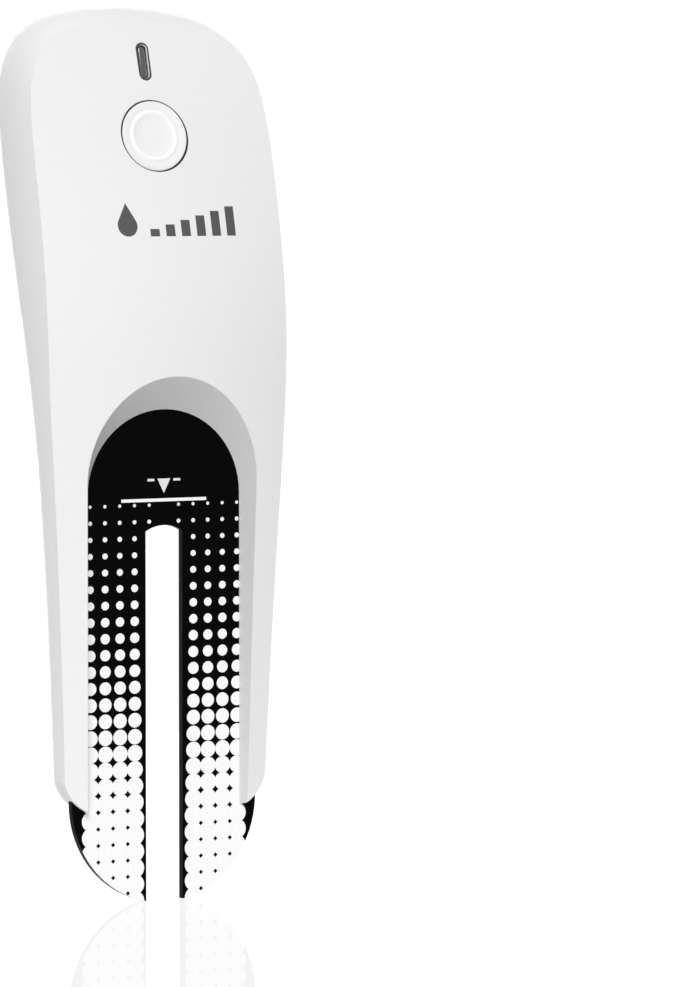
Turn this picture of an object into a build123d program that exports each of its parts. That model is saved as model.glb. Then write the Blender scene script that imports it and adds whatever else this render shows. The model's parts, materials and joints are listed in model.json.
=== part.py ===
from build123d import *
from math import cos, radians, sin, sqrt, tan
import os

# Soil moisture sensor: a paddle-shaped housing that holds a forked probe board.
# Millimetres. X to the right, Y to the back, Z up. The origin is the middle of the
# probe board's front face, on the line that marks how deep the probe may be planted.

# Probe board
board_thickness = 1.6
board_half_width = 21.3
board_tip = -83.2
board_shoulder = 8.0
board_neck_half_width = 16.9
board_top = 49.0
slot_half_width = 4.25
slot_top = -5.2
slot_end_rise = 1.2

# Housing: the rim is the widest line of the body, where its two shells meet
housing_end = -64.3
end_radius = 9.0
bend_height = 21.0
bend_radius = 171.0
head_lean = 14.0
rear_thickness = 4.0
rear_wall = 2.0
rear_edge_radius = 2.0
door_edge_radius = 1.4
wall = 2.2
cavity_floor = 28.0
side_swell = 40.0
top_swell = 18.0

# Rim of the body: height, half width, direction of its outward normal, swell radius
rim = [
    (-80.0, 23.0, 0, side_swell),
    (-41.0, 24.0, 0, side_swell),
    (0.0, 26.2, 0, side_swell),
    (25.0, 27.8, 0, side_swell),
    (45.0, 28.6, 0, side_swell),
    (65.0, 28.8, 0, side_swell),
    (80.0, 28.3, 5, side_swell),
    (88.0, 26.9, 15, 34.0),
    (94.0, 23.8, 38, 27.0),
    (98.4, 18.6, 62, 22.0),
    (100.9, 10.0, 80, 19.0),
]
rim_top = 101.6

# Front face: height, half width, depth of its edge, height of its crown
face = [
    (-84.0, 22.6, -0.2, 2.6),
    (-62.0, 23.2, -0.6, 2.9),
    (-41.0, 23.8, -1.2, 3.2),
    (-20.0, 24.9, -1.7, 3.4),
    (0.0, 25.8, -2.3, 3.5),
    (22.0, 27.1, -2.5, 3.6),
    (42.0, 27.9, -1.6, 3.0),
    (60.0, 27.8, 1.4, 2.0),
    (75.0, 27.6, 5.0, 1.2),
    (90.0, 25.6, 9.0, 0.4),
    (106.0, 20.0, 12.9, 0.3),
]

# Window: an arch that widens from the board to the face
window_radius = 17.56
window_center = 1.1
window_front_radius = 23.52
window_front_center = 8.8
window_front_depth = -12.0
rear_window_center = -8.0
rear_window_flare = 2.0

# Head frame: its origin is the middle of the button, and it leans back with the head
button_height = 74.7
button_depth = 3.8
head = Location((0, button_depth, button_height), (-head_lean, 0, 0))

# Depths behind the button's face, in the head frame
flange_front = 2.75
flange_back = 3.35
stem_tip = 4.0
switch_front = 4.6
pcb_front = 7.0
pcb_back = 8.2
tray_front = 9.3
cell_radius = 7.25
cell_depth = 17.85
pod_rim = 25.2
pod_back = 27.4

# Button and light
button_radius = 7.5
button_gap = 0.12
flange_radius = 8.7
ring_radius = 5.45
ring_wire = 0.35
ring_depth = 0.12
dish_depth = 0.25
stem_radius = 1.6
light_height = 16.0
light_face = 1.05
light_length = 8.2
light_width = 2.9
bezel_wall = 0.65

# Battery pod, in the head frame
pod_base = 13.0
pod_base_half_width = 19.5
pod_base_low = -52.0
pod_base_high = 27.5
pod_half_width = 17.8
pod_low = -45.5
pod_high = 26.0
pod_wall = 1.7
tray_half_width = 15.9
tray_low = -39.5
tray_high = 20.0
tray_wall = 1.2
tray_back = 21.5
cell_spacing = 7.45
cell_length = 50.5
cell_low = -33.6
cell_offset = -4.3
nub_length = 1.5
nub_radius = 2.6
spring_radius = 3.2
spring_pitch = 1.5
spring_length = 3.2
spring_wire = 0.35
plate_gap = 0.2
plate_thickness = 0.4
plate_front = cell_depth - 5
plate_back = cell_depth + 3.4
door_screw_places = {"upper": 22.9, "lower": -42.6}
grip_count = 6
grip_low = -32.0
grip_pitch = 2.2
grip_width = 16.0
grip_groove = 1.0

# Screws
upper_screw_places = [(-22.6, 9.0), (22.6, 9.0), (-22.6, -28.0), (22.6, -28.0)]
arm_screw_place = (21.9, 14.5)
screw_radius = 1.25
screw_head_radius = 2.2
thread_clearance = 0.05
shank_clearance = 0.15
head_clearance = 0.2
screw_head_height = 1.6
door_screw_recess = 1.3
cross_width = 0.6
cross_length = 2.8
cross_depth = 0.7
boss_radius = 2.9
parting_face = 10.86
screw_start = 6.5
screw_seat = 13.1
arm_screw_start = -1.6
arm_screw_seat = 4.6
door_screw_start = 17.0

# Main board and its posts, in the head frame
pcb_half_width = 19.2
pcb_low = -33.0
pcb_high = 23.0
post_places = [(-14.0, 18.0), (14.0, 18.0), (-14.0, -20.0), (14.0, -20.0)]
post_radius = 2.1
board_screw_radius = 0.8
board_screw_length = 3.2
board_screw_head_radius = 1.8
board_screw_head_height = 0.9
header_height = 45.0
header_pins = 8
header_pitch = 2.54
chip_place = (-8.0, -6.0)
chip_size = 7.0
chip_height = 0.9
chip_pins = 8
chip_pitch = 0.8

# Seals and gaps
gasket_inset = 0.75
gasket_width = 0.7
gasket_depth = 0.7
board_gap = 0.1
seam_gap = 0.12


def parting_depth(height):
    """Depth of the surface where the shells meet: upright, then a bend, then the leaning head."""
    reach = bend_radius * tan(radians(head_lean / 2))
    bend_start = bend_height - reach
    climb = height - bend_start
    bend_end = bend_radius * sin(radians(head_lean))
    if climb <= 0:
        return board_thickness
    if climb < bend_end:
        return board_thickness + bend_radius - sqrt(bend_radius**2 - climb**2)
    return board_thickness + (height - bend_height) * tan(radians(head_lean))


def parting_slab(front, back):
    """The space between the parting surface moved back by front and by back, across the body."""
    low = housing_end - 30
    high = rim_top + 20
    bend_start = bend_height - bend_radius * tan(radians(head_lean / 2))
    bend_middle = bend_start + bend_radius * sin(radians(head_lean / 2))
    bend_end = bend_start + bend_radius * sin(radians(head_lean))

    def corners(shift):
        places = [low, bend_start, bend_middle, bend_end, high]
        return [(-50, parting_depth(height) + shift, height) for height in places]

    near = corners(front)
    far = corners(back)
    outline = [
        Line(near[0], near[1]),
        ThreePointArc(near[1], near[2], near[3]),
        Line(near[3], near[4]),
        Line(near[4], far[4]),
        Line(far[4], far[3]),
        ThreePointArc(far[3], far[2], far[1]),
        Line(far[1], far[0]),
        Line(far[0], near[0]),
    ]
    return extrude(make_face(outline), amount=100, dir=(1, 0, 0))


def side_wall(inset):
    """The body without front or back: slices from front to back that swell out to the rim."""
    slices = []
    for depth in range(-12, 37, 8):
        right = []
        for height, half_width, normal, swell in rim:
            drop = inset + (depth - parting_depth(height)) ** 2 / (2 * swell)
            x = half_width - drop * cos(radians(normal))
            right.append((x, depth, height - drop * sin(radians(normal))))
        drop = inset + (depth - parting_depth(rim_top)) ** 2 / (2 * top_swell)
        left = [(-x, y, z) for x, y, z in right]
        points = left + [(0, depth, rim_top - drop)] + right[::-1]
        slices.append(make_face([Spline(points), Line(points[-1], points[0])]))
    return loft(slices)


def in_front_of_face(inset):
    """Everything in front of the crowned front face, moved back by inset."""
    reach = 36.0
    sections = []
    for height, half_width, edge_depth, crown in face:
        radius = (half_width**2 + crown**2) / (2 * crown)
        middle = edge_depth - crown + inset
        side = middle + radius - sqrt(radius**2 - reach**2)
        arc = ThreePointArc((-reach, side, height), (0, middle, height), (reach, side, height))
        corners = [(reach, side), (reach, -40), (-reach, -40), (-reach, side)]
        sides = Polyline([(x, y, height) for x, y in corners])
        sections.append(make_face([arc, sides]))
    return loft(sections)


def arch(radius, center, depth, low):
    """A window outline: a half circle on two legs that run down to low."""
    outline = [
        Line((-radius, depth, low), (-radius, depth, center)),
        ThreePointArc((-radius, depth, center), (0, depth, center + radius), (radius, depth, center)),
        Line((radius, depth, center), (radius, depth, low)),
        Line((radius, depth, low), (-radius, depth, low)),
    ]
    return make_face(outline)


def front_window():
    low = housing_end - 20
    near = arch(window_front_radius, window_front_center, window_front_depth, low)
    far = arch(window_radius, window_center, 0, low)
    return loft([near, far], ruled=True)


def rear_window():
    low = housing_end - 20
    near = arch(window_radius, rear_window_center, board_thickness - 0.5, low)
    far = arch(window_radius + rear_window_flare, rear_window_center, board_thickness + 8, low)
    return loft([near, far], ruled=True)


def rod(x, height, radius, start, end):
    """A cylinder along the depth of the head frame."""
    return head * (Location((x, start, height), (-90, 0, 0)) * Cylinder(
        radius, end - start, align=(Align.CENTER, Align.CENTER, Align.MIN)))


def flat_plate(half_width, low, high, corner, start, end):
    """A plate with round corners between two depths, before it is placed in the head frame."""
    outline = RectangleRounded(2 * half_width, high - low, corner)
    placed = Plane(origin=(0, start, (low + high) / 2), x_dir=(1, 0, 0), z_dir=(0, 1, 0)) * outline
    return extrude(placed, amount=end - start, dir=(0, 1, 0))


def plate(half_width, low, high, corner, start, end):
    return head * flat_plate(half_width, low, high, corner, start, end)


def block(x, height, width, length, start, end):
    """A box in the head frame, centred on x and height."""
    size = Box(width, end - start, length)
    return head * (Location((x, (start + end) / 2, height)) * size)


def tapered_box(near, far, start, end):
    """A box with round corners that tapers from near to far: half width, low, high, corner radius."""
    ends = []
    for (half_width, low, high, corner), depth in ((near, start), (far, end)):
        middle = Plane(origin=(0, depth, (low + high) / 2), x_dir=(1, 0, 0), z_dir=(0, 1, 0))
        ends.append(middle * RectangleRounded(2 * half_width, high - low, corner))
    return head * loft(ends, ruled=True)


def light_stadium(length, width, start, end):
    """The long round-ended shape of the status light, upright in the head frame."""
    upright = Plane(origin=(0, start, light_height), x_dir=(0, 0, 1), z_dir=(0, 1, 0))
    outline = upright * SlotOverall(length, width)
    return head * extrude(outline, amount=end - start, dir=(0, 1, 0))


def upright_rod(x, height, radius, start, end):
    """A cylinder along the depth of the body."""
    placed = Location((x, start, height), (-90, 0, 0))
    return placed * Cylinder(radius, end - start, align=(Align.CENTER, Align.CENTER, Align.MIN))


def above(height):
    """All space above a height."""
    return Location((0, 0, height)) * Box(120, 120, 200, align=(Align.CENTER, Align.CENTER, Align.MIN))


def end_shape():
    """All space that the rounded lower end of the housing leaves."""
    side = 23.6
    outer = 45.0
    reach = side - end_radius
    knee = housing_end + end_radius
    diagonal = end_radius * (1 - cos(radians(45)))
    middle_x = side - diagonal
    middle_z = housing_end + diagonal
    outline = [
        Line((-outer, 0, 120), (-outer, 0, knee + 20)),
        Line((-outer, 0, knee + 20), (-side, 0, knee)),
        ThreePointArc((-side, 0, knee), (-middle_x, 0, middle_z), (-reach, 0, housing_end)),
        Line((-reach, 0, housing_end), (reach, 0, housing_end)),
        ThreePointArc((reach, 0, housing_end), (middle_x, 0, middle_z), (side, 0, knee)),
        Line((side, 0, knee), (outer, 0, knee + 20)),
        Line((outer, 0, knee + 20), (outer, 0, 120)),
        Line((outer, 0, 120), (-outer, 0, 120)),
    ]
    return extrude(make_face(outline), amount=50, dir=(0, 1, 0), both=True)


def board_outline(gap):
    """The probe board without its slot, grown by gap: a round tip, two sides, a shoulder and a neck."""
    side = board_half_width + gap
    neck = board_neck_half_width + gap
    shoulder = board_shoulder + gap
    tip_center = board_tip + board_half_width
    outline = [
        ThreePointArc((-side, 0, tip_center), (0, 0, board_tip - gap), (side, 0, tip_center)),
        Polyline(
            (side, 0, tip_center), (side, 0, shoulder), (neck, 0, shoulder), (neck, 0, board_top + gap),
            (-neck, 0, board_top + gap), (-neck, 0, shoulder), (-side, 0, shoulder), (-side, 0, tip_center),
        ),
    ]
    return make_face(outline)


def probe_board():
    board = extrude(board_outline(0), amount=board_thickness, dir=(0, 1, 0))
    left_corner = (-slot_half_width, 0, slot_top - slot_end_rise)
    right_corner = (slot_half_width, 0, slot_top - slot_end_rise)
    slot = make_face([
        ThreePointArc(left_corner, (0, 0, slot_top), right_corner),
        Polyline(
            right_corner, (slot_half_width, 0, board_tip - 5),
            (-slot_half_width, 0, board_tip - 5), left_corner,
        ),
    ])
    return board - extrude(slot, amount=board_thickness, dir=(0, 1, 0))


def head_cavity():
    return (side_wall(wall) - in_front_of_face(wall)) & above(cavity_floor)


def gasket_ring():
    """The seal between the shells: a U that follows the rim of the head."""
    ring = side_wall(gasket_inset) - side_wall(gasket_inset + gasket_width)
    return ring & parting_slab(-gasket_depth, seam_gap) & above(cavity_floor - 4)


def front_shell(body, cavity):
    shell = body - parting_slab(0, 80)
    shell -= cavity
    for x, height in upper_screw_places:
        shell += rod(x, height, boss_radius, 2.0, parting_face)
        shell -= rod(x, height, screw_radius, screw_start, parting_face + 1)
    for side in (-1, 1):
        x, height = arm_screw_place
        shell -= upright_rod(side * x, height, screw_radius, arm_screw_start, 10)
    for x, height in post_places:
        shell += rod(x, height, post_radius, 1.4, pcb_front)
        shell -= rod(x, height, board_screw_radius, pcb_front - 3.5, pcb_front + 1)
    shell -= front_window()
    shell -= extrude(board_outline(board_gap), amount=30, dir=(0, 1, 0)) - above(cavity_floor + 1)
    shell -= rod(0, 0, button_radius + button_gap, -3, 5)
    shell -= light_stadium(light_length, light_width, -3, 5)
    return shell - gasket_ring()


def rear_shell(body, cavity):
    plate_solid = body & parting_slab(seam_gap, rear_thickness)
    back_edges = []
    for edge in plate_solid.edges():
        middle = edge @ 0.5
        on_back = abs(middle.Y - parting_depth(middle.Z) - rear_thickness) < 0.05
        if on_back and edge.geom_type != GeomType.LINE:
            back_edges.append(edge)
    shell = fillet(back_edges, rear_edge_radius)
    shell -= cavity & parting_slab(-60, rear_thickness - rear_wall)
    base = (pod_base_half_width, pod_base_low, pod_base_high, 9)
    rim_end = (pod_half_width, pod_low, pod_high, 7)
    shell += tapered_box(base, rim_end, pod_base, pod_rim)
    inner_base = (pod_base_half_width - 2.1, pod_low - 0.5, pod_high - 1, 7)
    inner_end = (pod_half_width - pod_wall, pod_low + pod_wall, pod_high - pod_wall, 5.3)
    shell -= tapered_box(inner_base, inner_end, parting_face - 1, pod_rim)
    for height in door_screw_places.values():
        shell += rod(0, height, boss_radius, parting_face + 3, pod_rim)
        shell -= rod(0, height, screw_radius + thread_clearance, door_screw_start - 0.5, pod_rim + 1)
    for x, height in upper_screw_places:
        shell += rod(x, height, boss_radius, parting_face, screw_seat + 1)
        shell -= rod(x, height, screw_radius + shank_clearance, parting_face - 1, screw_seat + 1)
        shell -= rod(x, height, screw_head_radius + head_clearance, screw_seat, screw_seat + 6)
    for side in (-1, 1):
        x, height = arm_screw_place
        shell -= upright_rod(side * x, height, screw_radius + shank_clearance, 0, 10)
        shell -= upright_rod(side * x, height, screw_head_radius + head_clearance, arm_screw_seat, 20)
    return shell - rear_window()


def housing_screws():
    screws = []
    for x, height in upper_screw_places:
        shank = rod(x, height, screw_radius, screw_start, screw_seat)
        screws.append(shank + rod(x, height, screw_head_radius, screw_seat, screw_seat + screw_head_height))
    for side in (-1, 1):
        x, height = arm_screw_place
        shank = upright_rod(side * x, height, screw_radius, arm_screw_start, arm_screw_seat)
        head_end = arm_screw_seat + screw_head_height
        screws.append(shank + upright_rod(side * x, height, screw_head_radius, arm_screw_seat, head_end))
    return Compound(screws)


def probe_seal():
    """Soft block behind the board where it enters the head."""
    block_box = Location((0, 0, board_shoulder + 1)) * Box(
        2 * board_neck_half_width, 20, cavity_floor - board_shoulder - 1,
        align=(Align.CENTER, Align.MIN, Align.MIN))
    behind_board = Location((0, board_thickness, 0)) * block_box
    return behind_board & parting_slab(-60, 0)


def main_board():
    board = plate(pcb_half_width, pcb_low, pcb_high, 4, pcb_front, pcb_back)
    for x, height in post_places:
        board -= rod(x, height, board_screw_radius + 0.1, pcb_front - 1, pcb_back + 1)
    return board


def board_screws():
    screws = []
    for x, height in post_places:
        shank = rod(x, height, board_screw_radius, pcb_front - board_screw_length, pcb_back)
        head_end = pcb_back + board_screw_head_height
        screws.append(shank + rod(x, height, board_screw_head_radius, pcb_back, head_end))
    return Compound(screws)


def board_header():
    """Row of pins between the probe board and the main board."""
    header = Location((0, board_thickness, header_height)) * Box(
        20.6, 1.3, 2.5, align=(Align.CENTER, Align.MIN, Align.CENTER))
    for pin in range(header_pins):
        x = header_pitch * (pin - (header_pins - 1) / 2)
        header += upright_rod(x, header_height, 0.32, board_thickness + 1, board_thickness + 1.6)
    return header


def radio_module():
    module = block(0, -19, 16, 13, pcb_front - 0.8, pcb_front)
    return module + block(0, -17.5, 13.6, 9, pcb_front - 2.4, pcb_front - 0.8)


def microcontroller():
    x, height = chip_place
    chip = block(x, height, chip_size, chip_size, pcb_back, pcb_back + chip_height)
    for side in (-1, 1):
        for pin in range(chip_pins):
            pin_height = height + chip_pitch * (pin - (chip_pins - 1) / 2)
            chip += block(x + side * 3.9, pin_height, 0.9, 0.35, pcb_back, pcb_back + 0.3)
    return chip


def coil(x, low, depth, radius, pitch, length, wire):
    """A helical wire that stands along the head."""
    path = Helix(pitch, length, radius)
    profile = Plane(origin=path @ 0, z_dir=path % 0) * Circle(wire)
    return head * (Location((x, depth, low)) * sweep(profile, path=path))


def helical_antenna():
    return coil(-16.2, -9, 4.9, 1.55, 1.5, 15, 0.35)


def status_led():
    return block(0, light_height, 1.6, 3.2, pcb_front - 0.9, pcb_front)


def led_bezel():
    outer = light_stadium(light_length, light_width, light_face - 0.15, light_face + 1.6)
    opening = (light_length - 2 * bezel_wall, light_width - 2 * bezel_wall)
    inner = light_stadium(*opening, light_face - 1, light_face + 3)
    return outer - inner


def led_lens():
    opening = (light_length - 2 * bezel_wall, light_width - 2 * bezel_wall)
    return light_stadium(*opening, light_face + 0.3, pcb_front - 1.1)


def pair_button():
    cap = rod(0, 0, button_radius, 0, flange_front)
    cap -= rod(0, 0, ring_radius, -1, dish_depth)
    cap += head * (Location((0, ring_depth, 0), (90, 0, 0)) * Torus(ring_radius, ring_wire))
    cap += rod(0, 0, flange_radius, flange_front, flange_back)
    return cap + rod(0, 0, stem_radius, flange_back, stem_tip)


def button_seal():
    return rod(0, 0, 11.0, flange_front + 0.1, flange_back + 0.6) - rod(0, 0, flange_radius + 0.3, 0, 6)


def switch_body():
    return block(0, 0, 6, 6, switch_front, pcb_front) - rod(0, 0, 1.85, switch_front - 1, pcb_front - 1)


def switch_plunger():
    return rod(0, 0, 1.65, stem_tip + 0.05, pcb_front - 1.6)


def battery_tray():
    length = tray_high - tray_low
    inner_length = length - 2 * tray_wall
    inner_width = 2 * (tray_half_width - tray_wall)
    middle = (tray_high + tray_low) / 2
    outer = block(0, middle, 2 * tray_half_width, length, tray_front, tray_back)
    inner = block(0, middle, inner_width, inner_length, tray_front + tray_wall, tray_back + 8)
    return outer - inner + block(0, middle, 2.6, inner_length, tray_front + 1, tray_front + 3)


def cell(side):
    """An AA cell, lying along the head: the left one points up, the right one down."""
    stand = (Align.CENTER, Align.CENTER, Align.MIN)
    can_length = cell_length - nub_length
    if side < 0:
        can_low = cell_low
        nub_low = can_low + can_length
    else:
        nub_low = cell_low + cell_offset
        can_low = nub_low + nub_length
    can = Location((0, 0, can_low)) * Cylinder(cell_radius, can_length, align=stand)
    nub = Location((0, 0, nub_low)) * Cylinder(nub_radius, nub_length, align=stand)
    return head * (Location((side * cell_spacing, cell_depth, 0)) * (can + nub))


def contact_springs():
    winding = (spring_radius, spring_pitch, spring_length, spring_wire)
    left = coil(-cell_spacing, tray_low + tray_wall + 0.8, cell_depth, *winding)
    right = coil(cell_spacing, tray_high - tray_wall - 4.0, cell_depth, *winding)
    return Compound([left, right])


def contact_plates():
    height = tray_high - tray_wall - plate_gap
    plates = []
    for side in (-1, 1):
        plates.append(block(side * cell_spacing, height, 9, plate_thickness, plate_front, plate_back))
    return Compound(plates)


def contact_bridge():
    return block(0, tray_low + tray_wall + plate_gap, 24, plate_thickness, plate_front, plate_back)


def supply_pins():
    return Compound([rod(x, 12, 0.6, pcb_back, tray_front) for x in (-6, 6)])


def door_outline(inset, start, end):
    return plate(pod_half_width - inset, pod_low + inset, pod_high - inset, 7 - inset, start, end)


def battery_door():
    door = flat_plate(pod_half_width, pod_low, pod_high, 7, pod_rim, pod_back)
    door = head * fillet(door.edges().group_by(Axis.Y)[-1], door_edge_radius)
    for height in door_screw_places.values():
        door -= rod(0, height, screw_radius + shank_clearance, pod_rim - 1, pod_back + 1)
        door -= rod(0, height, screw_head_radius + head_clearance, pod_back - door_screw_recess, pod_back + 1)
    for groove in range(grip_count):
        height = grip_low + groove * grip_pitch
        door -= block(0, height, grip_width, grip_groove, pod_back - 0.4, pod_back + 1)
    return door - door_gasket()


def door_gasket():
    return door_outline(0.5, pod_rim, pod_rim + 0.6) - door_outline(1.3, pod_rim - 1, pod_rim + 1)


def door_screw(height):
    """A captive screw with a cross slot."""
    seat = pod_back - door_screw_recess
    head_back = pod_back - 0.1
    screw = rod(0, height, screw_radius, door_screw_start, seat)
    screw += rod(0, height, screw_head_radius, seat, head_back)
    screw -= block(0, height, cross_length, cross_width, head_back - cross_depth, pod_back + 1)
    return screw - block(0, height, cross_width, cross_length, head_back - cross_depth, pod_back + 1)


def write(name, solid):
    solid.label = name
    export_step(solid, f"parts/{name}.step")


os.makedirs("parts", exist_ok=True)
whole = (side_wall(0) - in_front_of_face(0)) & end_shape()
hollow = head_cavity()
write("front_shell", front_shell(whole, hollow))
write("rear_shell", rear_shell(whole, hollow))
write("housing_gasket", gasket_ring())
write("housing_screws", housing_screws())
write("probe_board", probe_board())
write("probe_seal", probe_seal())
write("main_board", main_board())
write("board_screws", board_screws())
write("board_header", board_header())
write("radio_module", radio_module())
write("microcontroller", microcontroller())
write("helical_antenna", helical_antenna())
write("status_led", status_led())
write("led_bezel", led_bezel())
write("led_lens", led_lens())
write("pair_button", pair_button())
write("button_seal", button_seal())
write("switch_body", switch_body())
write("switch_plunger", switch_plunger())
write("battery_tray", battery_tray())
write("battery_cell_left", cell(-1))
write("battery_cell_right", cell(1))
write("contact_springs", contact_springs())
write("contact_plates", contact_plates())
write("contact_bridge", contact_bridge())
write("supply_pins", supply_pins())
write("battery_door", battery_door())
write("door_gasket", door_gasket())
for place, screw_height in door_screw_places.items():
    write(f"door_screw_{place}", door_screw(screw_height))
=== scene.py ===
import json
import math

import bmesh
import bpy
from mathutils import Matrix, Vector
from mathutils.bvhtree import BVHTree


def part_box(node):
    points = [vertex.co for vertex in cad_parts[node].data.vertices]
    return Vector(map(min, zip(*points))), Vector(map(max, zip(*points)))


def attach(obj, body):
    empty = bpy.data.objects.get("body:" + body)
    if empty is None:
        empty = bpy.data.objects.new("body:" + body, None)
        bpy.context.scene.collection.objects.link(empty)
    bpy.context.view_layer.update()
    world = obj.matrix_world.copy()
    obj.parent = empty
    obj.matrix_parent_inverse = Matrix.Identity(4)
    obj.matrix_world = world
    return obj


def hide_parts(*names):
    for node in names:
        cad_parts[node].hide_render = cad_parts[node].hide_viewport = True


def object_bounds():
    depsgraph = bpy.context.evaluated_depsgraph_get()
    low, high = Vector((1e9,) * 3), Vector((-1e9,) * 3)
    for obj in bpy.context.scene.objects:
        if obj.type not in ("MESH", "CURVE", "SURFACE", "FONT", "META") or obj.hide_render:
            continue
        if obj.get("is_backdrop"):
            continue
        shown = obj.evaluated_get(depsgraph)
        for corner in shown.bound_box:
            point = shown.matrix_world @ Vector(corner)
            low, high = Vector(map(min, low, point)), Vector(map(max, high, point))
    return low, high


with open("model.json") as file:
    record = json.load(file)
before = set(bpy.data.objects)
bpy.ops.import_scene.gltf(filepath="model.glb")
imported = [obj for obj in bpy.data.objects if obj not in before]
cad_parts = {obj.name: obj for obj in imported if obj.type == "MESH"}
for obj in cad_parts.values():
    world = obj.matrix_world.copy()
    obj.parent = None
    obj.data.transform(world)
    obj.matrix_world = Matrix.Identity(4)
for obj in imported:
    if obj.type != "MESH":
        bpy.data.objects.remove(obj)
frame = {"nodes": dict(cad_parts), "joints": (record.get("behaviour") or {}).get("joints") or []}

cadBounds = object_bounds()
mm = 0.001
print("frame loaded:", len(frame["nodes"]), "nodes")


# the head leans back: its own directions, and its origin in the middle of the button's face
joints = {joint["name"]: joint for joint in frame["joints"]}
headSizes = {"screwDepth": 26.0, "upperScrew": 22.9}     # where the upper door screw is, from that origin
pressAxis = Vector(joints["button_press"]["axis"]).normalized()
rightAxis = Vector((1, 0, 0))
headUp = rightAxis.cross(pressAxis)
headOrigin = (Vector(joints["upper_screw_turn"]["pos_m"])
              - (pressAxis * headSizes["screwDepth"] + headUp * headSizes["upperScrew"]) * mm)


def headPoint(x, depth, height):
    # millimetres right, into the body and up along the head
    return headOrigin + (rightAxis * x + pressAxis * depth + headUp * height) * mm


class Wire:
    # a shader socket that takes part in sums

    def __init__(self, tree, socket=None):
        self.tree = tree
        self.socket = socket

    def make(self, kind, settings, inputs, output=0):
        # any node: its settings first, then the values or links of its sockets
        node = self.tree.nodes.new(kind)
        for name, value in settings.items():
            setattr(node, name, value)
        for name, value in inputs.items():
            if isinstance(value, Wire):
                self.tree.links.new(value.socket, node.inputs[name])
            else:
                node.inputs[name].default_value = value
        return Wire(self.tree, node.outputs[output])

    def maths(self, operation, *values):
        return self.make("ShaderNodeMath", {"operation": operation}, dict(enumerate(values)))

    def __add__(self, other):
        return self.maths("ADD", self, other)

    def __sub__(self, other):
        return self.maths("SUBTRACT", self, other)

    def __rsub__(self, other):
        return self.maths("SUBTRACT", other, self)

    def __mul__(self, other):
        return self.maths("MULTIPLY", self, other)

    def __truediv__(self, other):
        return self.maths("DIVIDE", self, other)

    def __rtruediv__(self, other):
        return self.maths("DIVIDE", other, self)

    def __lt__(self, other):
        return self.maths("LESS_THAN", self, other)

    def __gt__(self, other):
        return self.maths("GREATER_THAN", self, other)

    def __abs__(self):
        return self.maths("ABSOLUTE", self)

    def __round__(self):
        return self.maths("ROUND", self)

    __radd__ = __add__
    __rmul__ = __mul__

    def atLeast(self, other):
        return self.maths("MAXIMUM", self, other)

    def atMost(self, other):
        return self.maths("MINIMUM", self, other)

    def root(self):
        return self.maths("SQRT", self)


def opaque(colour, share=1.0):
    # a colour socket's value, darkened to a share of the colour
    return tuple(channel * share for channel in colour) + (1,)


def grey(value):
    return opaque((value, value, value))


def stretched(place, scale):
    return place.make("ShaderNodeMapping", {}, {"Vector": place, "Scale": scale})


def startMaterial(name):
    # gives the material, and the place on the object in millimetres
    material = bpy.data.materials.new(name)
    material.use_nodes = True
    place = Wire(material.node_tree).make("ShaderNodeTexCoord", {}, {}, "Object")
    return material, stretched(place, (1000, 1000, 1000))


def dress(material, constants, varying):
    shader = material.node_tree.nodes["Principled BSDF"]
    for name, value in constants.items():
        shader.inputs[name].default_value = value
    for name, wire in varying.items():
        material.node_tree.links.new(wire.socket, shader.inputs[name])
    return material


def noise(place, scale, detail, roughness=0.5):
    return place.make("ShaderNodeTexNoise", {}, {
        "Vector": place, "Scale": scale, "Detail": detail, "Roughness": roughness})


def mixColour(factor, first, second):
    # the Mix node's colours are its sockets 6 and 7, and its output 2
    return factor.make("ShaderNodeMix", {"data_type": "RGBA"}, {0: factor, 6: first, 7: second}, 2)


def mottled(factor, colours):
    # a soft change between two near colours
    first, second = colours
    return mixColour(factor, opaque(first), opaque(second))


def bump(height, strength, distance):
    return height.make("ShaderNodeBump", {}, {"Height": height, "Strength": strength, "Distance": distance})


def axes(place):
    return [place.make("ShaderNodeSeparateXYZ", {}, {0: place}, output) for output in range(3)]


mouldedLook = {
    "toneScale": 0.12,
    "glossByGrain": 0.10,
    "glossByTone": 0.08,
    "bumpStrength": 0.35,
}


def mouldedFinish(name, colour, roughness, grain, relief, shade=0.06):
    # moulded plastic, rubber and ink: soft changes of tone and gloss over a fine grain
    look = mouldedLook
    material, place = startMaterial(name)
    tone = noise(place, look["toneScale"], 3.0)
    fine = noise(place, grain, 4.0)
    base = mixColour(tone, opaque(colour, 1 - shade), opaque(colour))
    gloss = roughness + (fine - 0.5) * look["glossByGrain"] + (tone - 0.5) * look["glossByTone"]
    return dress(material, {}, {"Base Color": base, "Roughness": gloss,
                                "Normal": bump(fine, look["bumpStrength"], relief)})


metalLook = {
    "stretch": (6, 1, 1),       # draws the noise out into scratches
    "scratchScale": 3.0,
    "toneScale": 0.5,
    "shade": 0.85,
    "glossByScratch": 0.18,
    "bumpStrength": 0.08,
    "relief": 0.004,
}


def brushedMetal(name, colour, roughness):
    # turned or drawn metal: fine scratches over plating
    look = metalLook
    material, place = startMaterial(name)
    scratches = noise(stretched(place, look["stretch"]), look["scratchScale"], 4.0)
    tone = noise(place, look["toneScale"], 2.0)
    base = mixColour(tone, opaque(colour, look["shade"]), opaque(colour))
    gloss = roughness + (scratches - 0.5) * look["glossByScratch"]
    relief = bump(scratches, look["bumpStrength"], look["relief"])
    return dress(material, {"Metallic": 1.0}, {"Base Color": base, "Roughness": gloss, "Normal": relief})


# the window's wall widens from the probe board to the face, and its arch rises
windowSizes = {
    "depth": 12.0,              # the wall's extent in front of the probe board
    "radius": 17.56,            # at the board
    "widening": 5.96,
    "centre": 1.1,              # height of the arch's centre at the board
    "lift": 7.7,
    "tolerance": 0.12,
    "front": -11.5,
    "back": 0.3,
}


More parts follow.
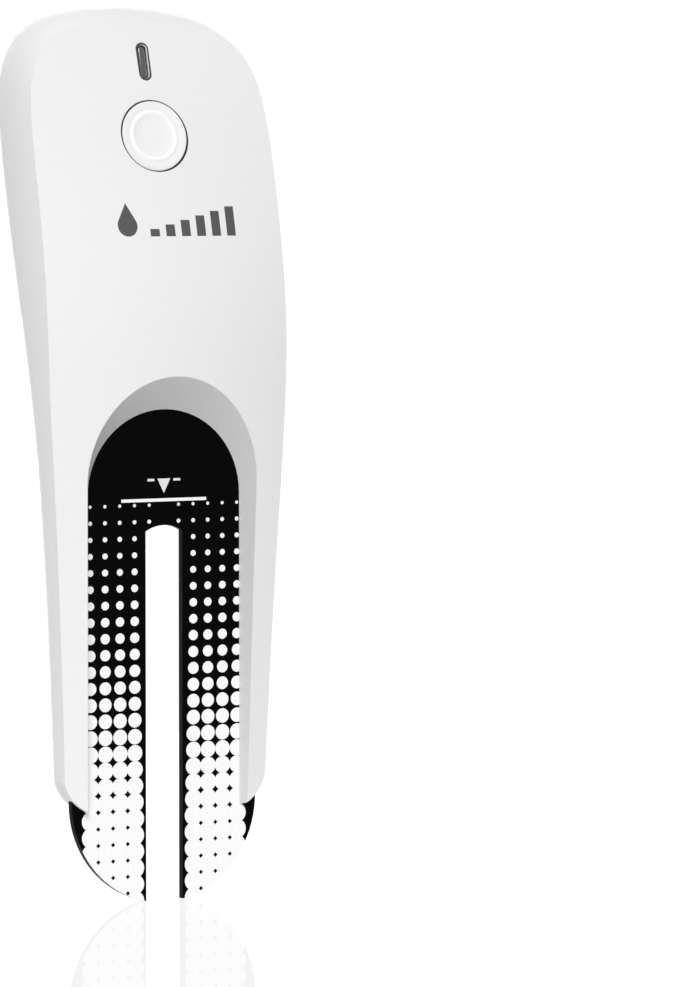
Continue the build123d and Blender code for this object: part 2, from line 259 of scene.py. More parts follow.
def shadedWindowWall(x, y, z):
    # 1 on the sloping wall of the window, which gets painted shade and a rougher finish
    sizes = windowSizes
    rise = y / -sizes["depth"]
    radius = rise * sizes["widening"] + sizes["radius"]
    height = (z - sizes["centre"] - rise * sizes["lift"]).atLeast(0)
    reach = (x * x + height * height).root()
    return (abs(reach - radius) < sizes["tolerance"]) * (y < sizes["back"]) * (y > sizes["front"])


# how far the painted shade in the button's hole reaches
gapSizes = {"radius": 7.72, "depth": 3.0}


def buttonHoleShade(x, y, z):
    # 1 on the edge of the hole that the button sits in, where shade is painted dark
    back = y - headOrigin.y / mm
    up = z - headOrigin.z / mm
    height = back * headUp.y + up * headUp.z
    depth = back * pressAxis.y + up * pressAxis.z
    return (x * x + height * height < gapSizes["radius"] ** 2) * (depth < gapSizes["depth"])


whiteLook = {
    "housing": (0.86, 0.86, 0.865),
    "wall": (0.65, 0.65, 0.66),             # painted shade on the window's sloping wall, a grey darker than the housing
    "wallMatt": 0.15,                       # how much rougher that wall is
    # painted shade in the edge of the button's hole
    "gap": (0.06, 0.06, 0.06),
    "button": (0.90, 0.90, 0.90),
    # a painted highlight on the button's raised ring
    "ring": (0.97, 0.97, 0.965),
    "shade": 0.975,
    "flowScale": 0.02,
    "grainScale": 3.2,
    "wearScale": 0.35,
    "roughness": 0.42,
    "glossByGrain": 0.08,
    "glossByWear": 0.07,
    "coat": 0.12,
    "coatRoughness": 0.25,
    "ior": 1.5,
    "bumpStrength": 0.12,
    "relief": 0.004,
}


def whiteMoulding(name, colour, hasWindow=False):
    # fine spark-eroded texture, faint flow marks and a slightly polished feel
    look = whiteLook
    material, place = startMaterial(name)
    flow = noise(place, look["flowScale"], 2.0)
    grain = noise(place, look["grainScale"], 5.0, 0.6)
    wear = noise(place, look["wearScale"], 3.0)
    tone = mixColour(flow, opaque(colour, look["shade"]), opaque(colour))
    gloss = look["roughness"] + (grain - 0.5) * look["glossByGrain"] + (wear - 0.5) * look["glossByWear"]
    if hasWindow:
        # painted shade: the window's sloping wall is coloured darker where shade falls
        wall = shadedWindowWall(*axes(place))
        tone = mixColour(wall, tone, opaque(look["wall"]))
        # painted shade in the edge of the button's hole
        tone = mixColour(buttonHoleShade(*axes(place)), tone, opaque(look["gap"]))
        gloss = gloss + wall * look["wallMatt"]
    constants = {"Coat Weight": look["coat"], "Coat Roughness": look["coatRoughness"], "IOR": look["ior"]}
    relief = bump(grain, look["bumpStrength"], look["relief"])
    return dress(material, constants, {"Base Color": tone, "Roughness": gloss, "Normal": relief})


# dots on one pitch grow row by row towards the tip; their sizes are shares of the pitch
printPattern = {
    "pitch": 3.4,
    "firstRow": -1.0,
    "lastColumn": 5,
    "smallest": 0.20,
    "growth": 0.053,
    "largest": 1.21,
    "rowsOverSlot": 2,          # these rows start one column nearer to the middle
    "lineHalfLength": 9.85,
    "lineHalfWidth": 0.33,
    "skin": 0.02,               # how deep the print reaches
}

probeLook = {
    "mask": ((0.0004, 0.0004, 0.0005), (0.0012, 0.0012, 0.0014)),
    "white": ((0.93, 0.93, 0.93), (0.97, 0.97, 0.97)),
    "edge": (0.003, 0.003, 0.0028),
    "fineScale": 2.0,
    "weaveScale": 1.1,
    "weaveStretch": (1, 1, 0.25),
    "roughness": 0.30,
    "inkMatt": 0.25,
    "glossByFine": 0.06,
    "inkHeight": 0.6,
    "weaveHeight": 0.05,
    "bumpStrength": 0.2,
    "relief": 0.01,
    "ior": 1.5,
    "specular": 0.03,
}


def probeInk(x, z):
    # 1 on the fill line and on the dots under it
    sizes = printPattern
    across = abs(x) / sizes["pitch"]
    down = (sizes["firstRow"] - z) / sizes["pitch"]
    row = round(down).atLeast(0)
    nearest = (row > sizes["rowsOverSlot"] - 0.5) + 1
    column = round(across).atLeast(nearest).atMost(sizes["lastColumn"])
    sideways = across - column
    along = down - row
    radius = (row * sizes["growth"] + sizes["smallest"]).atMost(sizes["largest"]) * 0.5
    dots = sideways * sideways + along * along < radius * radius
    line = (abs(z) < sizes["lineHalfWidth"]) * (abs(x) < sizes["lineHalfLength"])
    return (dots + line).atMost(1)


def probePrint():
    # black solder mask with white print on both faces, and bare dark edges
    look = probeLook
    material, place = startMaterial("probeMask")
    x, y, z = axes(place)
    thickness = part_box("probe_board")[1].y / mm
    faces = (y < printPattern["skin"]) + (y > thickness - printPattern["skin"])
    ink = probeInk(x, z) * faces
    weave = noise(stretched(place, look["weaveStretch"]), look["weaveScale"], 2.0)
    fine = noise(place, look["fineScale"], 3.0)
    board = mixColour(faces.atMost(1), opaque(look["edge"]), mottled(fine, look["mask"]))
    colour = mixColour(ink, board, mottled(fine, look["white"]))
    gloss = look["roughness"] + ink * look["inkMatt"] + (fine - 0.5) * look["glossByFine"]
    height = ink * look["inkHeight"] + weave * look["weaveHeight"]
    relief = bump(height, look["bumpStrength"], look["relief"])
    return dress(material, {"IOR": look["ior"], "Specular IOR Level": look["specular"]},
                 {"Base Color": colour, "Roughness": gloss, "Normal": relief})


boardLook = {
    "mask": ((0.012, 0.10, 0.045), (0.02, 0.15, 0.07)),
    "track": (0.05, 0.30, 0.14),
    "trackShare": 0.5,
    "trackScale": 0.3,
    "trackWidth": 0.03,
    "padTone": 0.35,
    "fineScale": 1.6,
    "roughness": 0.3,
    "glossByFine": 0.15,
    "coat": 0.3,
    "bumpStrength": 0.2,
    "relief": 0.02,
}


def boardMask():
    # green solder mask, with paler tracks laid out like courses of bricks
    look = boardLook
    material, place = startMaterial("boardMask")
    upright = place.make("ShaderNodeMapping", {}, {"Vector": place, "Rotation": (math.pi / 2, 0, 0)})
    tracks = place.make("ShaderNodeTexBrick", {"offset": 0.5}, {
        "Vector": upright, "Color1": grey(0.0), "Color2": grey(look["padTone"]), "Mortar": grey(1.0),
        "Scale": look["trackScale"], "Mortar Size": look["trackWidth"]})
    fine = noise(place, look["fineScale"], 3.0)
    colour = mixColour(tracks * look["trackShare"], mottled(fine, look["mask"]), opaque(look["track"]))
    gloss = look["roughness"] + fine * look["glossByFine"]
    relief = bump(tracks, look["bumpStrength"], look["relief"])
    return dress(material, {"Coat Weight": look["coat"]},
                 {"Base Color": colour, "Roughness": gloss, "Normal": relief})


jacketLook = {
    "dark": ((0.02, 0.022, 0.026), (0.035, 0.037, 0.042)),
    "copper": ((0.42, 0.20, 0.08), (0.52, 0.26, 0.11)),
    "ring": (0.7, 0.7, 0.7),
    "leftBand": 85.0,           # where each cell's band starts, along the head from the part's origin
    "rightBand": 42.0,
    "ringHalf": 0.4,
    "fineScale": 0.8,
    "metallic": 0.75,
    "roughness": 0.28,
    "glossByFine": 0.12,
    "bumpStrength": 0.1,
    "relief": 0.01,
}


def cellJacket():
    # foil jacket: dark body, a copper-toned band at the button end and a thin pale ring between them
    look = jacketLook
    material, place = startMaterial("cellJacket")
    x, y, z = axes(place)
    along = y * headUp.y + z * headUp.z
    fine = noise(place, look["fineScale"], 3.0)
    left = x < 0
    right = 1 - left
    leftRing = abs(along - look["leftBand"]) < look["ringHalf"]
    rightRing = abs(along - look["rightBand"]) < look["ringHalf"]
    band = (along > look["leftBand"]) * left + (along < look["rightBand"]) * right
    ring = leftRing * left + rightRing * right
    body = mixColour(band.atMost(1), mottled(fine, look["dark"]), mottled(fine, look["copper"]))
    colour = mixColour(ring.atMost(1), body, opaque(look["ring"]))
    gloss = look["roughness"] + fine * look["glossByFine"]
    relief = bump(fine, look["bumpStrength"], look["relief"])
    return dress(material, {"Metallic": look["metallic"]},
                 {"Base Color": colour, "Roughness": gloss, "Normal": relief})


lensLook = {
    "smoke": ((0.03, 0.03, 0.034), (0.055, 0.055, 0.06)),
    "fineScale": 0.9,
    "roughness": 0.12,
    "glossByFine": 0.08,
    "coat": 0.9,
    "coatRoughness": 0.04,
    "ior": 1.49,
}


def smokedLens():
    look = lensLook
    material, place = startMaterial("smokedLens")
    fine = noise(place, look["fineScale"], 2.0)
    gloss = look["roughness"] + fine * look["glossByFine"]
    constants = {"Coat Weight": look["coat"], "Coat Roughness": look["coatRoughness"], "IOR": look["ior"]}
    return dress(material, constants, {"Base Color": mottled(fine, look["smoke"]), "Roughness": gloss})


# a metal takes a colour and a roughness, and a moulding also a grain, a relief and a shade
finishes = {
    "housing": whiteMoulding("housingWhite", whiteLook["housing"], hasWindow=True),
    "button": whiteMoulding("buttonWhite", whiteLook["button"]),
    # the button's raised ring is painted brighter, as a painted highlight
    "ringPaintedHighlight": whiteMoulding("ringPaintedHighlight", whiteLook["ring"]),
    "probe": probePrint(),
    "board": boardMask(),
    "jacket": cellJacket(),
    "lens": smokedLens(),
    "darkChrome": brushedMetal("darkChrome", (0.07, 0.07, 0.075), 0.2),
    "screw": brushedMetal("screwSteel", (0.58, 0.58, 0.60), 0.28),
    "recess": brushedMetal("recessShade", (0.10, 0.10, 0.105), 0.5),
    "nickel": brushedMetal("contactNickel", (0.72, 0.70, 0.65), 0.25),
    "shield": brushedMetal("shieldTin", (0.66, 0.67, 0.68), 0.35),
    "copper": brushedMetal("antennaCopper", (0.70, 0.36, 0.18), 0.3),
    "gapShade": mouldedFinish("gapShade", (0.07, 0.07, 0.072), 0.7, 4.0, 0.004),
    "rubber": mouldedFinish("sealRubber", (0.34, 0.34, 0.35), 0.65, 4.0, 0.01),
    "black": mouldedFinish("blackMoulding", (0.02, 0.02, 0.021), 0.5, 5.0, 0.008, 0.3),
    "tray": mouldedFinish("trayGrey", (0.30, 0.31, 0.33), 0.55, 4.0, 0.01),
    "ledBody": mouldedFinish("ledBody", (0.80, 0.80, 0.74), 0.4, 6.0, 0.004),
    "ink": mouldedFinish("greyInk", (0.062, 0.066, 0.07), 0.5, 6.0, 0.003, 0.15),
    "whiteInk": mouldedFinish("whiteInk", (0.88, 0.88, 0.88), 0.5, 6.0, 0.003, 0.03),
}

finishedNodes = {
    "housing": ("front_shell", "rear_shell", "battery_door"),
    "button": ("pair_button",),
    "probe": ("probe_board",),
    "board": ("main_board",),
    "jacket": ("battery_cell_left", "battery_cell_right"),
    "lens": ("led_lens",),
    "darkChrome": ("led_bezel",),
    "screw": ("housing_screws", "board_screws", "door_screw_upper", "door_screw_lower"),
    "nickel": ("contact_springs", "contact_plates", "contact_bridge", "supply_pins"),
    "shield": ("radio_module",),
    "copper": ("helical_antenna",),
    "rubber": ("housing_gasket", "probe_seal", "button_seal", "door_gasket"),
    "black": ("board_header", "microcontroller", "switch_body", "switch_plunger"),
    "tray": ("battery_tray",),
    "ledBody": ("status_led",),
}
for finishName, nodeNames in finishedNodes.items():
    for nodeName in nodeNames:
        nodeMaterials = frame["nodes"][nodeName].data.materials
        nodeMaterials.clear()
        nodeMaterials.append(finishes[finishName])
print("finishes made:", len(finishes))


def newPiece(name, bm, body, finish, replaced=(), sharpAngle=35):
    # makes an object of the bmesh that rides on its body, in place of the nodes it replaces
    bmesh.ops.remove_doubles(bm, verts=bm.verts, dist=1e-7)
    bmesh.ops.recalc_face_normals(bm, faces=bm.faces)
    for face in bm.faces:
        face.smooth = True
    for edge in bm.edges:
        edge.smooth = edge.calc_face_angle(0) < math.radians(sharpAngle)
    mesh = bpy.data.meshes.new(name)
    bm.to_mesh(mesh)
    bm.free()
    piece = bpy.data.objects.new(name, mesh)
    bpy.context.scene.collection.objects.link(piece)
    mesh.materials.append(finishes[finish])
    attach(piece, body)
    if replaced:
        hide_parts(*replaced)
    return piece


def addTo(bm, one, matrix):
    # puts a finished small shape in its place in a larger one
    bmesh.ops.transform(one, verts=one.verts, matrix=matrix)
    mesh = bpy.data.meshes.new("part")
    one.to_mesh(mesh)
    one.free()
    bm.from_mesh(mesh)
    bpy.data.meshes.remove(mesh)


def placement(origin, direction):
    # from millimetres: local Z becomes direction, and local X stays to the right
    turn = Matrix((rightAxis, direction.cross(rightAxis), direction)).transposed().to_4x4()
    return Matrix.Translation(origin) @ turn @ Matrix.Scale(mm, 4)


def loopEdges(verts):
    return list({edge for vert in verts for edge in vert.link_edges})


def bridgeAll(bm, loops):
    # joins each loop to the next, and gives each wall's faces
    pairs = zip(loops, loops[1:])
    return [bmesh.ops.bridge_loops(bm, edges=first + second)["faces"] for first, second in pairs]


def spinProfile(bm, profile, steps=96):
    # profile points are (radius, height), turned about local Z
    points = [bm.verts.new((radius, 0, height)) for radius, height in profile]
    edges = [bm.edges.new(pair) for pair in zip(points, points[1:])]
    bmesh.ops.spin(bm, geom=points + edges, cent=(0, 0, 0), axis=(0, 0, 1), dvec=(0, 0, 0),
                   angle=math.tau, steps=steps, use_merge=True)
    bmesh.ops.remove_doubles(bm, verts=bm.verts, dist=1e-5)


def arcPoints(centre, radius, start, end, count):
    # points along an arc from start to end degrees
    points = []
    for step in range(count + 1):
        angle = math.radians(start + (end - start) * step / count)
        points.append((centre[0] + radius * math.cos(angle), centre[1] + radius * math.sin(angle)))
    return points


# depths run back from the head's face
buttonSizes = {
    "edgeRadius": 7.5,
    "edgeRound": 0.3,
    "shadowRing": 7.33,         # outside this radius the edge shows the dark of the gap
    "faceInset": 0.2,           # how far inside that radius the flat face ends
    "dishDepth": 0.22,
    "dishFlat": 0.6,            # the share of the dish that is flat
    "dishLip": (0.25, 0.19),    # the dish's last point: how far inside the ring, and its depth
    "ringRadius": 5.0,
    "ringHalf": 0.55,
    "ringRise": 0.16,
    "ringFoot": 0.12,           # depth of the ring's foot
    "ringSteps": 8,
    "shoulder": (0.3, 0.05),    # the first point outside the ring: how far, and its depth
    "flangeRadius": 8.7,
    "flangeFront": 2.75,
    "flangeBack": 3.35,
    "stemRadius": 1.6,
    "stemBack": 4.0,
}


def pairButton():
    # one turned shape: dished cap with a raised ring, a skirt, a stop flange and the stem behind
    sizes = buttonSizes
    ringOuter = sizes["ringRadius"] + sizes["ringHalf"]
    ringInner = sizes["ringRadius"] - sizes["ringHalf"]
    edge = sizes["edgeRadius"] - sizes["edgeRound"]
    lipInset, lipDepth = sizes["dishLip"]
    profile = [(0, sizes["dishDepth"]), (ringInner * sizes["dishFlat"], sizes["dishDepth"])]
    profile.append((ringInner - lipInset, lipDepth))
    for step in range(sizes["ringSteps"] + 1):
        share = step / sizes["ringSteps"]
        depth = sizes["ringFoot"] - sizes["ringRise"] * math.sin(math.pi * share)
        profile.append((ringInner + 2 * sizes["ringHalf"] * share, depth))
    shoulderReach, shoulderDepth = sizes["shoulder"]
    profile.append((ringOuter + shoulderReach, shoulderDepth))
    profile += [(sizes["shadowRing"] - sizes["faceInset"], 0.0), (edge, 0.0)]
    profile += arcPoints((edge, sizes["edgeRound"]), sizes["edgeRound"], -90, 0, 6)
    profile += [(sizes["edgeRadius"], sizes["flangeFront"]), (sizes["flangeRadius"], sizes["flangeFront"])]
    profile += [(sizes["flangeRadius"], sizes["flangeBack"]), (sizes["stemRadius"], sizes["flangeBack"])]
    profile += [(sizes["stemRadius"], sizes["stemBack"]), (0, sizes["stemBack"])]
    bm = bmesh.new()
    spinProfile(bm, profile)
    for face in bm.faces:
        middle = face.calc_center_median()
        radius = math.hypot(middle.x, middle.y)
        if radius > sizes["shadowRing"] and middle.z < sizes["flangeFront"]:
            face.material_index = 1
        # the raised ring gets the painted highlight
        elif ringInner < radius < ringOuter and middle.z < sizes["dishDepth"]:
            face.material_index = 2
    bmesh.ops.transform(bm, verts=bm.verts, matrix=placement(headOrigin, pressAxis))
    cap = newPiece("pair_button_cap", bm, "button", "button", ["pair_button"], 50)
    for finish in ("gapShade", "ringPaintedHighlight"):
        cap.data.materials.append(finishes[finish])


# round-ended rings: length along the head, width, and depth from the head's face
lightSizes = {
    "height": 16.0,
    "bezel": [(6.9, 1.6, 2.65), (6.9, 1.6, 1.30), (7.15, 1.85, 1.00), (7.35, 2.05, 0.90), (7.95, 2.65, 0.88),
              (8.2, 2.9, 1.08), (8.2, 2.9, 2.65)],
    "highlightWalls": (1, 2),      # the bezel's inner edge, in a brighter metal that also paints in its highlight line
    "lens": [(6.8, 1.5, 2.60), (6.8, 1.5, 1.45), (6.5, 1.2, 1.34), (6.0, 0.7, 1.28), (5.6, 0.3, 1.27)],
    "segments": 48,
}


def stadiumLoop(bm, length, width, depth):
    # a closed round-ended outline with its long side on local Y
    verts = bmesh.ops.create_circle(bm, segments=lightSizes["segments"], radius=width / 2)["verts"]
    shift = (length - width) / 2
    for vert in verts:
        vert.co.y += shift if vert.co.y > 1e-6 else -shift
        vert.co.z = depth
    return loopEdges(verts)


def statusLight():
    # a chrome surround, and the smoked lens in it
    turn = placement(headPoint(0, 0, lightSizes["height"]), pressAxis)
    bezel = bmesh.new()
    loops = [stadiumLoop(bezel, *ring) for ring in lightSizes["bezel"]]
    walls = bridgeAll(bezel, loops)
    bmesh.ops.bridge_loops(bezel, edges=loops[0] + loops[-1])
    # the inner edge's brighter metal stands in for its highlight line
    for step in lightSizes["highlightWalls"]:
        for face in walls[step]:
            face.material_index = 1
    bmesh.ops.transform(bezel, verts=bezel.verts, matrix=turn)
    surround = newPiece("light_bezel", bezel, "housing", "darkChrome", ["led_bezel"], 40)
    surround.data.materials.append(finishes["shield"])
    lens = bmesh.new()
    loops = [stadiumLoop(lens, *ring) for ring in lightSizes["lens"]]
    bridgeAll(lens, loops)
    for loop in (loops[0], loops[-1]):
        bmesh.ops.contextual_create(lens, geom=loop)
    bmesh.ops.transform(lens, verts=lens.verts, matrix=turn)
    newPiece("light_lens", lens, "housing", "lens", ["led_lens"], 40)


# printed marks on the front shell and on the probe board
markSizes = {
    "standOff": 0.02,           # how far the ink stands in front of the surface
    "lookFrom": 10.0,           # how far in front of the object the search for the surface starts
    "shellZ": 56.4,
    "dropX": -8.9,
    "dropRadius": 2.2,
    "dropTip": 4.6,
    "dropSteps": 28,
    "barWidth": 2.1,
    "barStep": 3.6,
    "barHeights": (1.5, 2.4, 3.3, 4.2, 5.1, 6.0),
    "barStart": -3.9,
    "levelZ": 2.9,
    "levelHalf": 1.5,
    "tickLength": 1.6,
    "tickHeight": 0.5,
    "tickGap": 0.7,
}


def flatShape(bm, outline):
    # outline points are (x, z) in millimetres
    bm.faces.new([bm.verts.new((x * mm, 0, z * mm)) for x, z in outline])


def rectangle(x, z, width, height):
    return [(x, z), (x + width, z), (x + width, z + height), (x, z + height)]


def dropOutline(x, z):
    # a plain droplet: a round foot and two straight sides up to the tip
    sizes = markSizes
    lean = math.degrees(math.asin(sizes["dropRadius"] / sizes["dropTip"]))
    foot = arcPoints((x, z), sizes["dropRadius"], 180 - lean, 360 + lean, sizes["dropSteps"])
    return foot + [(x, z + sizes["dropTip"])]


def layOn(bm, target):
    # pushes every vertex back along Y to just in front of the target's surface
    surface = BVHTree.FromObject(target, bpy.context.evaluated_depsgraph_get())
    back = Vector((0, 1, 0))
    front = cadBounds[0].y - markSizes["lookFrom"] * mm
    for vert in bm.verts:
        hit = surface.ray_cast(Vector((vert.co.x, front, vert.co.z)), back)[0]
        vert.co = hit - back * markSizes["standOff"] * mm


def shellMark():
    # a generic moisture mark: a droplet, and bars that rise to the right
    sizes = markSizes
    bm = bmesh.new()
    low = sizes["shellZ"] - sizes["dropRadius"]
    flatShape(bm, dropOutline(sizes["dropX"], sizes["shellZ"]))
    for step, height in enumerate(sizes["barHeights"]):
        flatShape(bm, rectangle(sizes["barStart"] + step * sizes["barStep"], low, sizes["barWidth"], height))
    bmesh.ops.triangulate(bm, faces=bm.faces)
    bmesh.ops.subdivide_edges(bm, edges=bm.edges, cuts=2, use_grid_fill=True)
    layOn(bm, frame["nodes"]["front_shell"])
    newPiece("moisture_mark", bm, "housing", "ink")


def levelMark():
    # above the fill line: a triangle that points down at it, between two short bars
    sizes = markSizes
    half, tick = sizes["levelHalf"], sizes["tickLength"]
    low, high = sizes["levelZ"] - half, sizes["levelZ"] + half
    bm = bmesh.new()
    flatShape(bm, [(-half, high), (half, high), (0, low)])
    for start in (-half - sizes["tickGap"] - tick, half + sizes["tickGap"]):
        flatShape(bm, rectangle(start, high - sizes["tickHeight"], tick, sizes["tickHeight"]))
    layOn(bm, frame["nodes"]["probe_board"])
    newPiece("level_mark", bm, "housing", "whiteInk")


pairButton()
statusLight()
shellMark()
levelMark()
print("button, light and marks made")


# start, seat and back run back from the head's face, and places are right of and above the button;
# the arms' screws are measured on the part's own axes instead
screwSizes = {
    "tip": 0.5,                 # length of the pointed end
    "tipShare": 0.35,           # its radius, as a share of the shank's
    "recess": 0.8,              # depth of the cross
    "recessShare": 0.7,         # the most of the head's height that it takes
    "arm": 1.35,                # reach of the cross on a head of this radius
    "armHead": 2.2,
    "armHalfAngle": 15.0,
    "armTaper": 0.8,
    "crown": ((1, 0.55), (0.95, 0.8)),      # the head's side, as shares of its radius and height
    "rim": (0.84, 0.04),        # share of the radius, and how far below the top
    "flatShare": 0.72,
    "segments": 48,
    "housing": {"shank": 1.25, "head": 2.2, "start": 6.5, "seat": 13.1, "back": 14.7,
                "places": ((-22.6, 9.0), (22.6, 9.0), (-22.6, -28.0), (22.6, -28.0))},
    "arms": {"shank": 1.25, "head": 2.2, "start": -1.6, "seat": 4.6, "back": 6.2, "x": 21.9, "z": 14.5},
    "board": {"shank": 0.8, "head": 1.8, "start": 3.8, "seat": 8.2, "back": 9.1,
              "places": ((-14, 18), (14, 18), (-14, -20), (14, -20))},
    "door": {"shank": 1.25, "head": 2.2, "start": 17.0, "seat": 26.1, "back": 27.3,
             "places": ((0, 22.9), (0, -42.6))},
}


def crossReach(angle, reach):
    # distance from the middle to the edge of a cross
    folded = abs((angle + math.pi / 4) % (math.pi / 2) - math.pi / 4)
    corner = math.radians(screwSizes["armHalfAngle"])
    return reach / math.cos(folded) if folded < corner + 1e-4 else reach * math.tan(corner) / math.sin(folded)


def bridgedRings(bm, rings):
    # rings are (radius or a function of the angle, height); both ends are closed; gives the last faces
    loops = []
    for radius, height in rings:
        verts = bmesh.ops.create_circle(bm, segments=screwSizes["segments"], radius=1)["verts"]
        for vert in verts:
            reach = radius(math.atan2(vert.co.y, vert.co.x)) if callable(radius) else radius
            vert.co = (vert.co.x * reach, vert.co.y * reach, height)
        loops.append(loopEdges(verts))
    walls = bridgeAll(bm, loops)
    ends = [bmesh.ops.contextual_create(bm, geom=loop)["faces"] for loop in (loops[0], loops[-1])]
    return walls[-1] + ends[1]


def crossScrew(bm, group, matrix):
    # a pan head with a cross recess on a pointed shank, from start to back along local Z
    sizes = screwSizes
    shank, head, start, seat, back = [group[key] for key in ("shank", "head", "start", "seat", "back")]
    rise = back - seat
    arm = sizes["arm"] * head / sizes["armHead"]
    recess = min(sizes["recess"], rise * sizes["recessShare"])
    rimShare, rimDrop = sizes["rim"]
    rings = [(shank * sizes["tipShare"], start), (shank, start + sizes["tip"]), (shank, seat), (head, seat)]
    rings += [(head * share, seat + rise * height) for share, height in sizes["crown"]]
    rings += [(head * rimShare, back - rimDrop), (head * sizes["flatShare"], back)]
    rings += [(lambda angle: crossReach(angle, arm), back)]
    rings += [(lambda angle: crossReach(angle, arm * sizes["armTaper"]), back - recess)]
    one = bmesh.new()
    for face in bridgedRings(one, rings):
        face.material_index = 1
    addTo(bm, one, matrix)


def allScrews():
    sizes = screwSizes
    housing = bmesh.new()
    for x, height in sizes["housing"]["places"]:
        crossScrew(housing, sizes["housing"], placement(headPoint(x, 0, height), pressAxis))
    arms = sizes["arms"]
    for side in (-1, 1):
        origin = Vector((side * arms["x"], 0, arms["z"])) * mm
        crossScrew(housing, arms, placement(origin, Vector((0, 1, 0))))
    made = [newPiece("housing_screw_set", housing, "housing", "screw", ["housing_screws"])]
    board = bmesh.new()
    for x, height in sizes["board"]["places"]:
        crossScrew(board, sizes["board"], placement(headPoint(x, 0, height), pressAxis))
    made.append(newPiece("board_screw_set", board, "housing", "screw", ["board_screws"]))
    for name, (x, height) in zip(("upper", "lower"), sizes["door"]["places"]):
        door = bmesh.new()
        crossScrew(door, sizes["door"], placement(headPoint(x, 0, height), pressAxis))
        made.append(newPiece(f"cross_screw_{name}", door, f"{name}_screw", "screw",
                             [f"door_screw_{name}"]))
    for piece in made:
        piece.data.materials.append(finishes["recess"])


cellSizes = {
    "radius": 7.25,
    "length": 50.5,
    "depth": 17.85,             # from the head's face to the cells' axes
    "spacing": 7.45,            # from the middle to each axis
    "leftLow": -33.6,
    "rightLow": -37.9,
    "dimple": (4.6, 0.35),      # radius and depth
    "dimpleEnd": (5.0, 0.05),
    "baseFlat": 0.9,
    "baseRound": 0.45,
    "groove": (1.3, 2.1, 0.12, 0.2),        # start and end above the base, depth, slope
    "crimp": (2.6, 1.3, 0.35, 0.4),         # start and end below the can's top, depth, slope
    "topRound": 0.6,
    "collar": (1.6, 1.9, 0.5, 0.35),        # outer side's top and foot, gap to the nub, depth
    "nubRadius": 2.6,
    "nubLength": 1.5,
    "nubBevel": 0.4,
    "steps": 72,
}


def groovePoints(radius, low, high, depth, slope):
    return [(radius, low), (radius - depth, low + slope), (radius - depth, high - slope), (radius, high)]


def batteryCell(name, side):
    # one turned shape: base dimple, crimped jacket ends, insulating ring and the button contact
    sizes = cellSizes
    radius, can = sizes["radius"], sizes["length"] - sizes["nubLength"]
    profile = [(0, sizes["dimple"][1]), sizes["dimple"], sizes["dimpleEnd"]]
    profile.append((radius - sizes["baseFlat"], 0.0))
    profile += arcPoints((radius - sizes["baseRound"], sizes["baseRound"]), sizes["baseRound"], -90, 0, 5)
    profile += groovePoints(radius, *sizes["groove"])
    crimpStart, crimpEnd, crimpDepth, slope = sizes["crimp"]
    profile += groovePoints(radius, can - crimpStart, can - crimpEnd, crimpDepth, slope)
    profile += arcPoints((radius - sizes["topRound"], can - sizes["topRound"]), sizes["topRound"], 0, 90, 5)
    collarTop, collarFoot, nubGap, sunk = sizes["collar"]
    nub, top, bevel = sizes["nubRadius"], can + sizes["nubLength"], sizes["nubBevel"]
    profile += [(radius - collarTop, can), (radius - collarFoot, can - sunk), (nub + nubGap, can - sunk)]
    profile += [(nub, can), (nub, top - bevel), (nub - bevel, top), (0, top)]
    bm = bmesh.new()
    spinProfile(bm, profile, sizes["steps"])
    # the left cell's contact points up along the head, and the right one's down
    low = sizes["leftLow"] if side < 0 else sizes["rightLow"] + sizes["length"]
    matrix = placement(headPoint(side * sizes["spacing"], sizes["depth"], low), headUp * -side)
    bmesh.ops.transform(bm, verts=bm.verts, matrix=matrix)
    newPiece(name + "_jacketed", bm, "housing", "jacket", [name], 30)


coilSizes = {
    "wire": 0.35,
    "wireSides": 10,
    "pitch": 1.5,
    "stepsPerTurn": 28,
    "springRadius": 3.2,
    "springLength": 3.2,
    "leftLow": -37.5,
    "rightLow": 14.8,
    "antennaRadius": 1.55,
    "antennaLength": 15.0,
    "antennaX": -16.2,
    "antennaDepth": 4.9,
    "antennaLow": -9.0,
}


def addCoil(bm, origin, radius, length):
    # a wire wound about the head's upward direction
    sizes = coilSizes
    turns = length / sizes["pitch"]
    steps = int(turns * sizes["stepsPerTurn"])
    one = bmesh.new()
    ring = bmesh.ops.create_circle(one, segments=sizes["wireSides"], radius=sizes["wire"])["verts"]
    bmesh.ops.rotate(one, verts=ring, cent=(0, 0, 0), matrix=Matrix.Rotation(math.pi / 2, 3, "X"))
    bmesh.ops.translate(one, verts=ring, vec=(radius, 0, 0))
    bmesh.ops.spin(one, geom=ring + loopEdges(ring), cent=(0, 0, 0), axis=(0, 0, 1),
                   dvec=(0, 0, length / steps), angle=turns * math.tau, steps=steps)
    ends = [edge for edge in one.edges if edge.is_boundary]
    bmesh.ops.holes_fill(one, edges=ends, sides=sizes["wireSides"])
    addTo(bm, one, placement(origin, headUp))


def springsAndAntenna():
    sizes = coilSizes
    springs = bmesh.new()
    for side, low in ((-1, sizes["leftLow"]), (1, sizes["rightLow"])):
        origin = headPoint(side * cellSizes["spacing"], cellSizes["depth"], low)
        addCoil(springs, origin, sizes["springRadius"], sizes["springLength"])
    newPiece("cell_springs", springs, "housing", "nickel", ["contact_springs"], 60)
    antenna = bmesh.new()
    origin = headPoint(sizes["antennaX"], sizes["antennaDepth"], sizes["antennaLow"])
    addCoil(antenna, origin, sizes["antennaRadius"], sizes["antennaLength"])
    newPiece("antenna_coil", antenna, "housing", "copper", ["helical_antenna"], 60)


allScrews()
batteryCell("battery_cell_left", -1)
batteryCell("battery_cell_right", 1)
springsAndAntenna()
print("screws, cells and coils made")


# the floor glows, so that it stays white under the lamps, and mirrors the tip at a flat angle
floorSizes = {
    "half": 0.3,
    "tone": 0.25,
    "glow": 0.7,
    "roughness": 0.02,
    "ior": 1.024,
}


